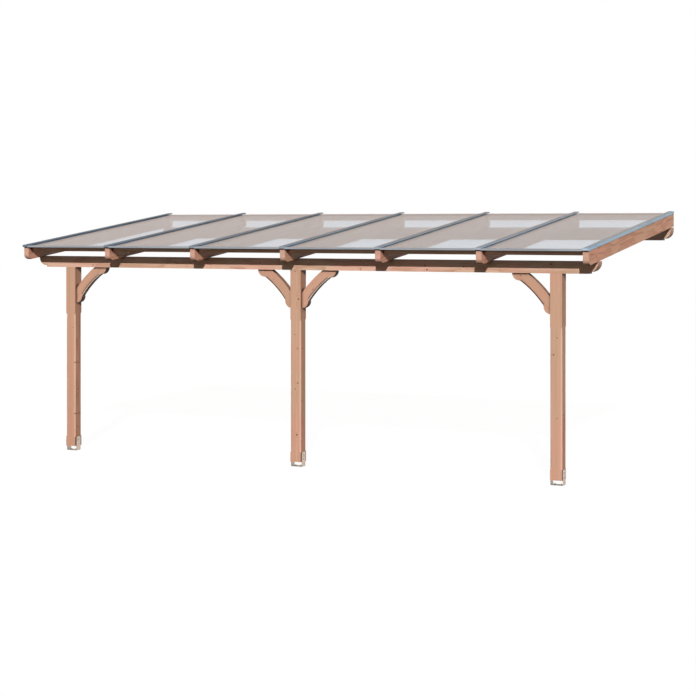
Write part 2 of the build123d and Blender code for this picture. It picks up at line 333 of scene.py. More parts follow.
@dataclass(frozen=True)
class GrowthRings:
    """Growth rings of glued boards, each cut around a pith of its own below it; a step is how far
    one piece's pattern lies from the next one's."""

    spacing: float = 4.6 * MM
    drift: float = 24.0 * MM
    drift_scale: float = 6.0
    drift_stretch: float = 0.16
    drift_step: float = 2.7
    knot_bulge: float = 7.0 * MM
    pith_aside: float = 0.05
    pith_aside_range: float = 0.10
    pith_depth: float = 0.02
    pith_depth_range: float = 0.05
    darkening: Range = (0.35, 0.88)
    last_edge: Range = (1.0, 0.93)
    contrast: Range = (0.45, 1.0)

    def late_wood(self, graph: Graph, cut: Cut, board: float, halo: Socket, seed: int) -> Socket:
        """Draws the rings.

        Args:
            graph: Builder of the material.
            cut: How the place lies in the timber.
            board: Thickness of a glued board.
            halo: Socket of how near a knot is, which pushes the rings outwards.
            seed: Number of the piece.

        Returns:
            The socket of how dark the late wood is.
        """
        aside = graph.math("SUBTRACT", cut.x, self.pith_aside)
        across = graph.math("MULTIPLY_ADD", cut.luck[0], self.pith_aside_range, aside)
        below = graph.math("MULTIPLY_ADD", cut.in_board, board, self.pith_depth)
        below = graph.math("MULTIPLY_ADD", cut.luck[1], self.pith_depth_range, below)
        slow = graph.math("MULTIPLY_ADD", cut.z, self.drift_stretch, self.drift_step * seed)
        place = graph.add("CombineXYZ", {0: cut.x, 1: below, 2: slow}).outputs[0]
        drift = graph.math("MULTIPLY", graph.noise(place, self.drift_scale), self.drift)
        squares = (graph.math("POWER", across, 2.0), graph.math("POWER", below, 2.0))
        radius = graph.math("SQRT", graph.math("ADD", *squares))
        radius = graph.math("ADD", radius, drift)
        radius = graph.math("MULTIPLY_ADD", halo, self.knot_bulge, radius)
        count = graph.math("DIVIDE", radius, self.spacing)
        share = graph.math("FRACT", count)
        rising, falling = graph.fade(share, *self.darkening), graph.fade(share, *self.last_edge)
        dark = graph.math("MULTIPLY", rising, falling)
        own = graph.chance(graph.math("FLOOR", count))[0]
        return graph.math("MULTIPLY", dark, graph.spread(own, *self.contrast))


@dataclass(frozen=True)
class StainedTimber:
    """Planed glulam spruce under a thin tan stain: rings, fibres, glue lines and knots, with painted light
    on chamfers and side faces and painted shade in corners.
    """

    early_wood: Colour = (0.700, 0.450, 0.335)
    late_wood: Colour = (0.460, 0.240, 0.152)
    knot_heart: Colour = (0.085, 0.036, 0.018)
    knot_rim: Colour = (0.24, 0.105, 0.055)
    pinkish: Colour = (1.04, 0.965, 0.97)
    tan: Colour = (0.97, 1.02, 0.98)
    end_grain: Colour = (0.95, 0.93, 1.0)
    # Painted light and shade: sides tints the faces across the fibres' way.
    sides: Colour = WHITE
    # Painted highlight on chamfers and eased edges; slant_start and slant_end pick those faces.
    painted_chamfer_light: Colour = (1.12, 1.14, 1.18)
    slant_start: Range = (0.50, 0.62)
    slant_end: Range = (0.90, 0.80)
    rings: GrowthRings = GrowthRings()
    board: float = 40.0 * MM
    board_step: float = 13.7
    glue_line: float = 0.012
    glue_depth: float = 0.35
    fibre_stretch: float = 0.03
    fibre_scale: float = 330.0
    streak_scale: float = 26.0
    streak_step: Pair = (0.31, 0.17)
    fine_detail: float = 3.0
    blotch_scale: float = 1.6
    blotch_step: Pair = (1.9, 0.7)
    blotch_range: Range = (0.35, 0.65)
    late_share: float = 0.60
    fibre_share: float = 0.42
    streak_share: float = 0.75
    board_share: float = 0.16
    tone_start: float = 0.45
    tone_end: float = 0.9
    knot_core: float = 0.6
    knot_reach: float = 1.1
    halo_reach: float = 4.5
    heart_range: Range = (0.3, 0.8)
    rim_range: Range = (0.0, 0.35)
    knot_depth: float = 0.95
    # Painted shade: the corner values darken places shut in by neighbours.
    corner: float = 40.0 * MM
    corner_range: Range = (0.88, 0.55)
    corner_depth: float = 0.92
    corner_samples: int = 6
    relief: float = 0.5 * MM
    relief_strength: float = 0.3
    ring_relief: float = 0.7
    roughness: Range = (0.50, 0.72)
    shine: float = 0.3

    def material(
        self, name: str, grain: Grain, seed: int, start: float, knots: Sequence[Knot]
    ) -> Material:
        """Makes the finish for one piece.

        Args:
            name: Name of the material.
            grain: Direction of the fibres and of the stacked boards.
            seed: Number that sets which part of the tree the piece was cut from.
            start: Distance of the piece's first board along the stacking direction.
            knots: Knots that show on the piece.

        Returns:
            The material.
        """
        material, graph = new_material(name)
        coords = graph.add("TexCoord").outputs
        along, stacked = (Vector(way) for way in grain.value)
        spot = Spot(coords["Object"], coords["Normal"], along, along.cross(stacked))
        x, y, z = (graph.dot(spot.place, way) for way in (spot.aside, stacked, along))
        boards = graph.math("DIVIDE", graph.math("SUBTRACT", y, start), self.board)
        luck = graph.chance(graph.math("ADD", graph.math("FLOOR", boards), self.board_step * seed))
        cut = Cut(x, z, graph.math("FRACT", boards), luck)
        mark, halo = self.knot_marks(graph, spot.place, knots)
        late = self.rings.late_wood(graph, cut, self.board, halo, seed)
        fine = graph.math("MULTIPLY", z, self.fibre_stretch)
        fine = graph.add("CombineXYZ", {0: x, 1: y, 2: fine}).outputs[0]
        fibres = graph.noise(fine, self.fibre_scale, self.fine_detail)
        wood = graph.mix(1.0, self.grained(graph, cut, late, fibres, fine, seed),
                         self.cast(graph, spot.place, seed), "MULTIPLY")
        edge = graph.math("PINGPONG", cut.in_board, 0.5)
        joint = graph.math("LESS_THAN", edge, self.glue_line)
        wood = graph.mix(graph.math("MULTIPLY", joint, self.glue_depth), wood, self.late_wood)
        wood = graph.tinted(wood, graph.turned_to(spot.normal, along), self.end_grain)
        # Painted light and shade on the side faces.
        wood = graph.tinted(wood, graph.turned_to(spot.normal, spot.aside), self.sides)
        wood = self.knotted(graph, wood, mark)
        # Painted highlight on chamfers; the post and brace woods add painted shade here.
        wood = self.painted_edge_light(graph, wood, spot)
        # Painted shade in corners and along contact lines, darkened towards the knot's dark colour.
        wood = graph.mix(self.corner_shade(graph), wood, self.knot_heart)
        height = graph.math("MULTIPLY_ADD", late, self.ring_relief, fibres)
        surface = {
            "Base Color": wood,
            "Roughness": graph.spread(fibres, *self.roughness),
            "Normal": graph.bump(height, self.relief_strength, self.relief),
            "Specular IOR Level": self.shine,
        }
        graph.close("BsdfPrincipled", surface)
        return material

    def grained(
        self, graph: Graph, cut: Cut, late: Socket, fibres: Socket, fine: Socket, seed: int
    ) -> Socket:
        """Colours the wood by its rings, fibres, streaks and board.

        Args:
            graph: Builder of the material.
            cut: How the place lies in the timber.
            late: Socket of how dark the late wood is.
            fibres: Socket of the fibres' noise.
            fine: Socket of the place, shortened along the fibres.
            seed: Number of the piece.

        Returns:
            The colour's socket.
        """
        aside, ahead = self.streak_step
        shifted = graph.vector("ADD", fine, (aside * seed, 0.0, ahead * seed))
        streaks = graph.noise(shifted, self.streak_scale, self.fine_detail)
        tone = graph.math("MULTIPLY", late, self.late_share)
        tone = graph.math("MULTIPLY_ADD", fibres, self.fibre_share, tone)
        tone = graph.math("MULTIPLY_ADD", streaks, self.streak_share, tone)
        tone = graph.math("MULTIPLY_ADD", cut.luck[2], self.board_share, tone)
        stops = ((0.0, self.early_wood), (self.tone_end, self.late_wood))
        return graph.ramp(graph.math("SUBTRACT", tone, self.tone_start), stops)

    def cast(self, graph: Graph, place: Socket, seed: int) -> Socket:
        """Spreads the stain in large blotches, some pinkish and some tan.

        Args:
            graph: Builder of the material.
            place: Socket of the place on the piece.
            seed: Number of the piece.

        Returns:
            The socket of the tint.
        """
        back, up = self.blotch_step
        blotch = graph.noise(graph.vector("ADD", place, (0.0, back * seed, up * seed)), self.blotch_scale)
        return graph.mix(graph.fade(blotch, *self.blotch_range), self.pinkish, self.tan)

    def knotted(self, graph: Graph, wood: Socket, mark: Socket) -> Socket:
        """Lays the knots, darker at their heart, over the wood.

        Args:
            graph: Builder of the material.
            wood: Socket of the wood's colour.
            mark: Socket of how deep the place lies in a knot.

        Returns:
            The colour's socket.
        """
        heart = graph.mix(graph.fade(mark, *self.heart_range), self.knot_rim, self.knot_heart)
        share = graph.math("MULTIPLY", graph.fade(mark, *self.rim_range), self.knot_depth)
        return graph.mix(share, wood, heart)

    def corner_shade(self, graph: Graph) -> Socket:
        """Measures how much a place is shut in by its neighbours and returns the socket of the painted
        corner shade's share.
        """
        air = graph.add("AmbientOcclusion", {"Distance": self.corner}, samples=self.corner_samples)
        shut_in = graph.fade(air.outputs["AO"], *self.corner_range)
        return graph.math("MULTIPLY", shut_in, self.corner_depth)

    def painted_edge_light(self, graph: Graph, wood: Socket, spot: Spot) -> Socket:
        """Paints a highlight on the chamfers and eased edges that slant towards the front and the back;
        braces that lean left get painted shade there instead.

        Args:
            graph: Builder of the material.
            wood: Socket of the wood's colour.
            spot: Where the finish is worked out.

        Returns:
            The colour's socket.
        """
        starts, ends = (
            graph.turned_to(spot.normal, TO_WALL, *edge) for edge in (self.slant_start, self.slant_end)
        )
        return graph.tinted(wood, graph.math("MULTIPLY", starts, ends), self.painted_chamfer_light)

    def knot_marks(
        self, graph: Graph, place: Socket, knots: Sequence[Knot]
    ) -> tuple[Socket, Socket]:
        """Draws the knots of a piece.

        Args:
            graph: Builder of the material.
            place: Socket of the place on the piece.
            knots: Knots to draw.

        Returns:
            The sockets of how deep a place lies in a knot and of how near it is to one.
        """
        mark = graph.math("ADD", 0.0, 0.0)
        halo = mark
        for knot in knots:
            apart = graph.vector("SUBTRACT", place, knot.place)
            far = graph.length(graph.vector("MULTIPLY", apart, knot.branch.value))
            reach, core = self.knot_reach * knot.radius, self.knot_core * knot.radius
            mark = graph.math("MAXIMUM", mark, graph.fade(far, reach, core))
            halo = graph.math("ADD", halo, graph.fade(far, self.halo_reach * knot.radius, 0.0))
        return mark, halo


@dataclass(frozen=True)
class PostTimber(StainedTimber):
    """Wood of a post, with painted shade on its sides beside the plates of its shoe."""

    shoe_top: float = 0.0
    shoe_blend: float = 4.0 * MM
    # Painted shade on the post's sides beside the shoe's plates.
    shoe_shade: Colour = (0.48, 0.40, 0.36)

    def painted_edge_light(self, graph: Graph, wood: Socket, spot: Spot) -> Socket:
        """Paints the chamfers' highlight and the shade on the sides of the foot.

        Args:
            graph: Builder of the material.
            wood: Socket of the wood's colour.
            spot: Where the finish is worked out.

        Returns:
            The colour's socket.
        """
        wood = super().painted_edge_light(graph, wood, spot)
        height = graph.dot(spot.place, UP)
        low = graph.fade(height, self.shoe_top + self.shoe_blend, self.shoe_top - self.shoe_blend)
        foot = graph.math("MULTIPLY", graph.turned_to(spot.normal, RIGHT), low)
        return graph.tinted(wood, foot, self.shoe_shade)


@dataclass(frozen=True)
class BraceTimber(StainedTimber):
    """Wood of a curved brace: painted shade of a fine routed groove beside its hollow edge, and painted
    shade on its narrow faces.
    """

    arc_centre: Point = (0.0, 0.0, 0.0)
    arc_radius: float = 1000.0 * MM
    line_offset: float = 10.5 * MM
    line_half_width: float = 5.0 * MM
    line_core: float = 0.6
    line_half_length: float = 163.0 * MM
    line_taper: float = 0.95
    narrow_faces: Range = (0.5, 0.3)
    facing_down: Range = (0.15, -0.2)
    facing_up: Range = (0.3, 0.6)
    # Painted shade of the routed groove beside the hollow edge.
    painted_groove_shade: Colour = (0.12, 0.085, 0.06)
    # Painted shade on the narrow faces that look down and up.
    painted_underside_shade: Colour = (0.15, 0.11, 0.085)
    painted_top_shade: Colour = (0.52, 0.45, 0.42)

    def painted_edge_light(self, graph: Graph, wood: Socket, spot: Spot) -> Socket:
        """Paints the chamfers' light, the shade of the routed groove and the shade on the narrow faces.

        Args:
            graph: Builder of the material.
            wood: Socket of the wood's colour.
            spot: Where the finish is worked out.

        Returns:
            The colour's socket.
        """
        wood = super().painted_edge_light(graph, wood, spot)
        narrow = graph.turned_to(spot.normal, TO_WALL, *self.narrow_faces)
        level = graph.dot(spot.normal, UP)
        # Painted shade on the narrow faces.
        for faces, tint in ((self.facing_down, self.painted_underside_shade), (self.facing_up, self.painted_top_shade)):
            share = graph.math("MULTIPLY", graph.fade(level, *faces), narrow)
            wood = graph.tinted(wood, share, tint)
        # Painted shade of the routed groove.
        return graph.tinted(wood, self.groove_shade_share(graph, spot), self.painted_groove_shade)

    def groove_shade_share(self, graph: Graph, spot: Spot) -> Socket:
        """Finds the painted shade of the routed groove, which follows the hollow edge and ends before the
        volutes.

        Args:
            graph: Builder of the material.
            spot: Where the finish is worked out.

        Returns:
            A socket that is 1 on the line and 0 off it.
        """
        apart = graph.vector("SUBTRACT", spot.place, self.arc_centre)
        far = graph.length(graph.vector("MULTIPLY", apart, FRONT_VIEW))
        off = graph.math("SUBTRACT", far, self.arc_radius + self.line_offset)
        off = graph.math("ABSOLUTE", off)
        line = graph.fade(off, self.line_half_width, self.line_core * self.line_half_width)
        run = graph.math("ABSOLUTE", graph.dot(apart, spot.along))
        inside = graph.fade(run, self.line_half_length, self.line_taper * self.line_half_length)
        return graph.math("MULTIPLY", line, inside)


class Zone(Enum):
    """Where a metal takes its painted light cast."""

    NOWHERE = 0
    FLANKS = 1
    EAVES = 2


@dataclass(frozen=True)
class Metal:
    """A metal with drawn lines or a spangled coat, a painted light cast in one zone, and a painted light
    sweep from left to right along the cover."""

    base: Colour
    dark: Colour
    edge: Colour
    stretch: Point = (1.0, 1.0, 1.0)
    roughness: float = 0.36
    roughness_swing: Range = (-0.07, 0.08)
    metallic: float = 1.0
    mottle_scale: float = 60.0
    mottle_detail: float = 4.0
    mottle_range: Range = (0.30, 0.70)
    flake_scale: float = 90.0
    spangle: float = 0.0
    relief: float = 0.3 * MM
    relief_strength: float = 0.10
    # zone, cast, flanks, eaves and sweep set painted light, not the metal's own colour.
    zone: Zone = Zone.NOWHERE
    cast: Colour = WHITE
    flanks: Range = (0.7, 0.9)
    eaves: Range = (-2.2, -2.9)
    sweep: tuple[tuple[float, Colour], ...] = ()
    sweep_width: float = 6.42

    def material(self, name: str) -> Material:
        """Makes the finish.

        Args:
            name: Name of the material.

        Returns:
            The material.
        """
        material, graph = new_material(name)
        coords = graph.add("TexCoord").outputs
        place = coords["Object"]
        lines = graph.vector("MULTIPLY", place, self.stretch)
        lines = graph.noise(lines, self.mottle_scale, self.mottle_detail)
        cells = graph.add("TexVoronoi", {"Vector": place, "Scale": self.flake_scale})
        flake = graph.add("SeparateColor", {0: cells.outputs["Color"]}).outputs[0]
        mottle = graph.math("MULTIPLY_ADD", graph.math("SUBTRACT", flake, 0.5), self.spangle, lines)
        darkest, palest = self.mottle_range
        colour = graph.ramp(mottle, ((darkest, self.dark), (palest, self.base)))
        # Painted light: the zone's cast and the left-to-right sweep stand in for light and reflections.
        if self.zone is Zone.FLANKS:
            share = graph.turned_to(coords["Normal"], RIGHT, *self.flanks)
            colour = graph.tinted(colour, share, self.cast)
        if self.zone is Zone.EAVES:
            share = graph.fade(graph.dot(place, TO_WALL), *self.eaves)
            colour = graph.tinted(colour, share, self.cast)
        if self.sweep:
            side = graph.dot(place, (1.0 / self.sweep_width, 0.0, 0.0))
            swept = graph.ramp(graph.math("ADD", side, 0.5), self.sweep)
            colour = graph.mix(1.0, colour, swept, "MULTIPLY")
        surface = {
            "Base Color": colour,
            "Metallic": self.metallic,
            "Roughness": graph.spread(mottle, *(self.roughness + swing for swing in self.roughness_swing)),
            "Specular Tint": (*self.edge, 1.0),
            "Normal": graph.bump(lines, self.relief_strength, self.relief),
        }
        graph.close("BsdfPrincipled", surface)
        return material


# Painted reflection: the rails are cooler towards the eaves, darker on the left and paler on the right.
RAIL_ALUMINIUM = Metal(
    base=(0.60, 0.72, 0.80),
    dark=(0.46, 0.55, 0.61),
    edge=(0.44, 0.48, 0.52),
    stretch=(1.0, 0.02, 1.0),
    zone=Zone.EAVES,
    cast=(0.95, 1.03, 1.14),
    sweep=(
        (0.0, (0.31, 0.31, 0.32)),
        (0.33, (0.48, 0.44, 0.42)),
        (0.66, (0.68, 0.60, 0.55)),
        (0.84, (0.78, 0.71, 0.67)),
        (1.0, (0.88, 0.86, 0.82)),
    ),
)
CHANNEL_ALUMINIUM = Metal(
    base=(0.40, 0.45, 0.49),
    dark=(0.30, 0.335, 0.365),
    edge=(0.62, 0.68, 0.74),
    stretch=(0.04, 1.0, 1.0),
)
PALE_ALUMINIUM = Metal(
    base=(0.80, 0.80, 0.80),
    dark=(0.72, 0.72, 0.72),
    edge=(0.90, 0.90, 0.90),
    stretch=(0.02, 1.0, 1.0),
    roughness=0.50,
    metallic=0.6,
)
# Painted light: the shoes' flanks that face left and right are warmer and brighter.
GALVANISED = Metal(
    base=(0.42, 0.45, 0.41),
    dark=(0.33, 0.355, 0.32),
    edge=(0.8, 0.8, 0.8),
    roughness=0.45,
    metallic=0.8,
    mottle_scale=55.0,
    spangle=0.5,
    zone=Zone.FLANKS,
    cast=(1.85, 1.28, 1.10),
)
ZINC_PLATED = Metal(
    base=(0.62, 0.61, 0.57),
    dark=(0.46, 0.46, 0.43),
    edge=(0.85, 0.85, 0.85),
    roughness=0.30,
    mottle_scale=240.0,
)


@dataclass(frozen=True)
class ClearSheet:
    """Clear plastic with a cool tint, faint inner walls and a thin film of dust."""

    tint: Colour = (0.40, 0.69, 0.93)
    paler: Colour = (0.45, 0.73, 0.96)
    film_scale: float = 2.5
    film_detail: float = 5.0
    film_range: Range = (0.3, 0.7)
    wall_tint: Colour = (0.86, 0.90, 0.93)
    wall_pitch: float = 32.0 * MM
    wall_share: float = 0.03
    bend: float = 1.002
    gloss: float = 0.75
    gloss_index: float = 1.5
    roughness: float = 0.02

    def material(self, name: str) -> Material:
        """Makes the finish.

        Args:
            name: Name of the material.

        Returns:
            The material.
        """
        material, graph = new_material(name)
        place = graph.add("TexCoord").outputs["Object"]
        film = graph.noise(place, self.film_scale, self.film_detail)
        clean, dusty = self.film_range
        tint = graph.ramp(film, ((clean, self.tint), (dusty, self.paler)))
        across = graph.dot(place, (1.0 / self.wall_pitch, 0.0, 0.0))
        wall = graph.math("LESS_THAN", graph.math("FRACT", across), self.wall_share)
        tint = graph.tinted(tint, wall, self.wall_tint)
        surface = {
            "Base Color": tint,
            "Roughness": graph.spread(film, 0.0, 2.0 * self.roughness),
            "IOR": self.bend,
            "Transmission Weight": 1.0,
            "Coat Weight": self.gloss,
            "Coat IOR": self.gloss_index,
            "Coat Roughness": self.roughness,
        }
        graph.close("BsdfPrincipled", surface)
        return material


@dataclass(frozen=True)
class SealRubber:
    """Matt black sealing rubber with a little dust."""

    base: Colour = (0.020, 0.020, 0.022)
    dusty: Colour = (0.060, 0.058, 0.056)
    dust_scale: float = 120.0
    dust_detail: float = 3.0
    dust_range: Range = (0.4, 0.8)
    relief: float = 0.3 * MM
    relief_strength: float = 0.2
    roughness: Range = (0.65, 0.90)

    def material(self, name: str) -> Material:
        """Makes the finish.

        Args:
            name: Name of the material.

        Returns:
            The material.
        """
        material, graph = new_material(name)
        place = graph.add("TexCoord").outputs["Object"]
        dust = graph.noise(place, self.dust_scale, self.dust_detail)
        clean, dusty = self.dust_range
        surface = {
            "Base Color": graph.ramp(dust, ((clean, self.base), (dusty, self.dusty))),
            "Roughness": graph.spread(dust, *self.roughness),
            "Normal": graph.bump(dust, self.relief_strength, self.relief),
        }
        graph.close("BsdfPrincipled", surface)
        return material


def corners(node: str) -> tuple[Vector, Vector]:
    """Gives the lowest and the highest corner of a CAD node."""
    low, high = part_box(node)
    return Vector(low), Vector(high)


def dress(node: str, material: Material) -> Piece:
    """Gives a CAD node its finish.

    Args:
        node: Name of the node.
        material: Finish to give it.

    Returns:
        The node's object.
    """
    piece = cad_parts[node]
    piece.data.materials.clear()
    piece.data.materials.append(material)
    return piece


def ease_edges(piece: Piece, width: float) -> None:
    """Rounds the sharp edges of a piece.

    Args:
        piece: Object to round.
        width: Width of the rounding in metres.
    """
    bevel = piece.modifiers.new("eased_edges", "BEVEL")
    bevel.width = width
    bevel.segments = EDGE_STEPS
    bevel.limit_method = "ANGLE"
    bevel.angle_limit = EDGE_ANGLE


def timber_piece(
    node: str,
    grain: Grain,
    seed: int,
    arris: float,
    knots: Sequence[Knot] = (),
    wood: StainedTimber = StainedTimber(),
) -> Piece:
    """Dresses one timber and eases its edges.

    Args:
        node: Name of the node.
        grain: How it was cut.
        seed: Number of the piece.
        arris: Width of the eased edges.
        knots: Knots that show on it.
        wood: Finish of the timber.

    Returns:
        The dressed object.
    """
    stacked = Vector(grain.value[1])
    start = min(vertex.co.dot(stacked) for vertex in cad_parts[node].data.vertices)
    finish = wood.material(f"timber_{node}", grain, seed, start, knots)
    piece = dress(node, finish)
    ease_edges(piece, arris)
    return piece


def front_knot(x: float, z: float, radius: float) -> Knot:
    """Makes a knot that shows in front view, from its place in metres and radius in millimetres."""
    return Knot((x, 0.0, z), radius * MM, Branch.FRONT_TO_BACK)


def side_knot(y: float, z: float, radius: float) -> Knot:
    """Makes a knot that shows in side view, from its place in metres and radius in millimetres."""
    return Knot((0.0, y, z), radius * MM, Branch.SIDE_TO_SIDE)


@dataclass(frozen=True)
class KnotScatter:
    """Small knots spread along a straight timber that lies or slopes."""

    spacing: float = 0.42
    margin: float = 0.15
    height_share: float = 0.75
    radii: Range = (4.5, 9.0)

    def along(self, low: Vector, high: Vector, rise: float, branch: Branch, seed: int) -> list[Knot]:
        """Spreads the knots.

        Args:
            low: Start of the timber's centre line.
            high: End of it.
            rise: Half of the timber's height.
            branch: Way that the branches ran.
            seed: Number of the piece.

        Returns:
            The knots.
        """
        dice = random.Random(seed)
        line = high - low
        count = max(1, round(line.length / self.spacing))
        knots = []
        for index in range(count):
            share = (index + dice.uniform(self.margin, 1.0 - self.margin)) / count
            aside = dice.uniform(-self.height_share, self.height_share) * rise
            place = low + line * share + Vector((0.0, 0.0, aside))
            knots.append(Knot(tuple(place), dice.uniform(*self.radii) * MM, branch))
        return knots


def place_object(name: str, data: bpy.types.ID) -> Piece:
    """Makes an object and links it to the scene.

    Args:
        name: Name of the object.
        data: Its mesh, lamp or camera.

    Returns:
        The object.
    """
    piece = bpy.data.objects.new(name, data)
    bpy.context.collection.objects.link(piece)
    return piece


class Shape:
    """Collects turned and hexagonal bodies in one mesh."""

    def __init__(self) -> None:
        """Starts an empty shape."""
        self.points: list[Vector] = []
        self.faces: list[tuple[int, ...]] = []

    def turn(self, profile: Sequence[Pair], sides: int, place: Matrix) -> None:
        """Adds a body turned about its own Z axis.

        Args:
            profile: Radius and height of each point, from the foot to the tip; the first and the
                last lie on the axis.
            sides: Number of sides; 6 makes a hexagon.
            place: Where the body stands.
        """
        base = len(self.points)
        (_, foot), *middle, (_, tip) = profile
        self.points.append(place @ Vector((0.0, 0.0, foot)))
        for radius, height in middle:
            for side in range(sides):
                angle = math.tau * side / sides
                corner = Vector((radius * math.cos(angle), radius * math.sin(angle), height))
                self.points.append(place @ corner)
        self.points.append(place @ Vector((0.0, 0.0, tip)))
        last = len(self.points) - 1
        first_ring = base + 1
        top = first_ring + (len(middle) - 1) * sides
        for side in range(sides):
            after = (side + 1) % sides
            self.faces.append((base, first_ring + after, first_ring + side))
            for low in range(first_ring, top, sides):
                high = low + sides
                self.faces.append((low + side, low + after, high + after, high + side))
            self.faces.append((top + side, top + after, last))

    def to_object(self, name: str, material: Material) -> Piece:
        """Makes the object and hangs it on the cover.

        Args:
            name: Name of the object.
            material: Its finish.

        Returns:
            The object.
        """
        mesh = bpy.data.meshes.new(name)
        mesh.from_pydata([tuple(point) for point in self.points], [], self.faces)
        mesh.materials.append(material)
        for face in mesh.polygons:
            face.use_smooth = True
        mesh.set_sharp_from_angle(angle=SMOOTH_ANGLE)
        piece = place_object(name, mesh)
        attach(piece, BODY)
        return piece


@dataclass(frozen=True)
class HexBolt:
    """A plated bolt end: washer, hexagon and the rounded tip of the thread."""

    washer_radius: float = 10.0 * MM
    washer_height: float = 2.0 * MM
    hexagon_radius: float = 9.6 * MM
    hexagon_height: float = 7.0 * MM
    thread_radius: float = 5.0 * MM
    thread_tip: float = 4.0 * MM
    chamfer: float = 0.8 * MM
    round_sides: int = 28

    def add_to(self, shape: Shape, place: Matrix, shank: float, tip: bool) -> None:
        """Adds the bolt end to a shape.

        Args:
            shape: Shape to add to.
            place: Where its washer lies, with Z pointing out of the surface.
            shank: Length of the shank that shows below the washer.
            tip: Whether the thread's tip stands out of the hexagon.
        """
        c = self.chamfer / 2
        r, t = self.washer_radius, self.washer_height
        sides, thread = self.round_sides, self.thread_radius
        shape.turn([(0, -shank), (thread, -shank), (thread, 0), (0, 0)], sides, place)
        shape.turn([(0, 0), (r - c, 0), (r, c), (r, t - c), (r - c, t), (0, t)], sides, place)
        r, top = self.hexagon_radius, self.washer_height + self.hexagon_height
        chamfered = r - 2 * self.chamfer
        shape.turn([(0, t), (r, t), (r, top - self.chamfer), (chamfered, top), (0, top)], HEXAGON, place)
        if tip:
            r, end = thread, top + self.thread_tip
            shape.turn([(0, top), (r, top), (r, end - c), (r - c, end), (0, end)], sides, place)


@dataclass(frozen=True)
class SmallScrew:
    """A small screw head with a sunk round socket; its dome is given in shares of the head."""

    head_radius: float = 5.0 * MM
    head_height: float = 1.6 * MM
    socket_radius: float = 2.2 * MM
    socket_floor: float = 0.2
    dome: tuple[Pair, ...] = ((1.0, 0.0), (1.0, 0.35), (0.86, 0.8), (0.6, 1.0))
    sides: int = 18

    def add_to(self, shape: Shape, place: Matrix) -> None:
        """Adds the head to a shape.

        Args:
            shape: Shape to add to.
            place: Where it lies, with Z pointing out of the surface.
        """
        r, h, s = self.head_radius, self.head_height, self.socket_radius
        floor = self.socket_floor * h
        dome = [(across * r, up * h) for across, up in self.dome]
        shape.turn([(0, 0), *dome, (s, h), (s, floor), (0, floor)], self.sides, place)


def facing(place: Vector, way: Vector) -> Matrix:
    """Turns a body's Z axis along a direction at a place.

    Args:
        place: Where the body stands.
        way: Direction that its Z axis takes.

    Returns:
        The matrix.
    """
    turn = way.to_track_quat("Z", "Y").to_matrix().to_4x4()
    return Matrix.Translation(place) @ turn


@dataclass
class PostRow:
    """The three posts with their shoes, bolts and ground anchors."""

    names: tuple[str, ...] = ("left", "middle", "right")
    arris: float = 2.5 * MM
    shoe_arris: float = 0.6 * MM
    side_bolt_heights: Pair = (85.0 * MM, 130.0 * MM)
    anchor_half_spacing: float = 30.0 * MM
    plate: float = 5.0 * MM
    bolt: HexBolt = HexBolt()
    # Painted shade: the posts' side faces are darker.
    wood: PostTimber = PostTimber(sides=(0.88, 0.77, 0.69))
    knots: dict[str, list[Knot]] = field(
        default_factory=lambda: {
            "left": [
                front_knot(-2.785, -1.039, 5.0),
                front_knot(-2.766, -1.426, 7.0),
                front_knot(-2.766, -1.994, 7.0),
                side_knot(-2.659, -1.723, 8.0),
                side_knot(-2.678, -2.141, 7.0),
            ],
            "middle": [
                front_knot(-0.007, -0.356, 7.0),
                front_knot(-0.007, -0.382, 7.0),
                front_knot(0.033, -0.669, 9.0),
                front_knot(-0.008, -1.036, 6.0),
                front_knot(0.027, -1.180, 7.0),
                front_knot(0.027, -1.537, 8.0),
                front_knot(-0.006, -1.602, 7.0),
                front_knot(0.015, -2.073, 9.5),
                side_knot(-2.678, -1.181, 8.0),
                side_knot(-2.682, -1.726, 9.0),
                side_knot(-2.687, -2.143, 9.0),
            ],
            "right": [
                front_knot(2.831, -0.985, 6.5),
                front_knot(2.796, -1.149, 8.0),
                front_knot(2.831, -1.757, 6.0),
                side_knot(-2.675, -1.729, 8.0),
            ],
        }
    )

    def build(self) -> list[Piece]:
        """Dresses the posts and shoes and adds their fixings.

        Returns:
            The finished objects.
        """
        steel = GALVANISED.material("galvanised_steel")
        plated = ZINC_PLATED.material("zinc_plated_steel")
        made = []
        for seed, name in enumerate(self.names, start=1):
            wood = replace(self.wood, shoe_top=corners(f"post_shoe_{name}")[1].z)
            knots = self.knots[name]
            made.append(timber_piece(f"post_{name}", Grain.UPRIGHT, seed, self.arris, knots, wood))
            shoe = dress(f"post_shoe_{name}", steel)
            ease_edges(shoe, self.shoe_arris)
            made.append(shoe)
            made.append(self.make_fixings(name, plated))
        return made

    def make_fixings(self, name: str, material: Material) -> Piece:
        """Makes the bolts through one shoe's sides and the nuts of its ground anchors.

        Args:
            name: Which post.
            material: Finish of the fixings.

        Returns:
            The fixings as one piece.
        """
        low, high = corners(f"post_shoe_{name}")
        middle = (low + high) / 2
        shape = Shape()
        for height in self.side_bolt_heights:
            for side, x in ((-1.0, low.x), (1.0, high.x)):
                place = Vector((x, middle.y, low.z + height))
                way = Vector((side, 0.0, 0.0))
                self.bolt.add_to(shape, facing(place, way), self.plate, side < 0)
        for side in (-1.0, 1.0):
            place = Vector((middle.x + side * self.anchor_half_spacing, middle.y, low.z + self.plate))
            self.bolt.add_to(shape, Matrix.Translation(place), self.plate, True)
        return shape.to_object(f"shoe_fixings_{name}", material)


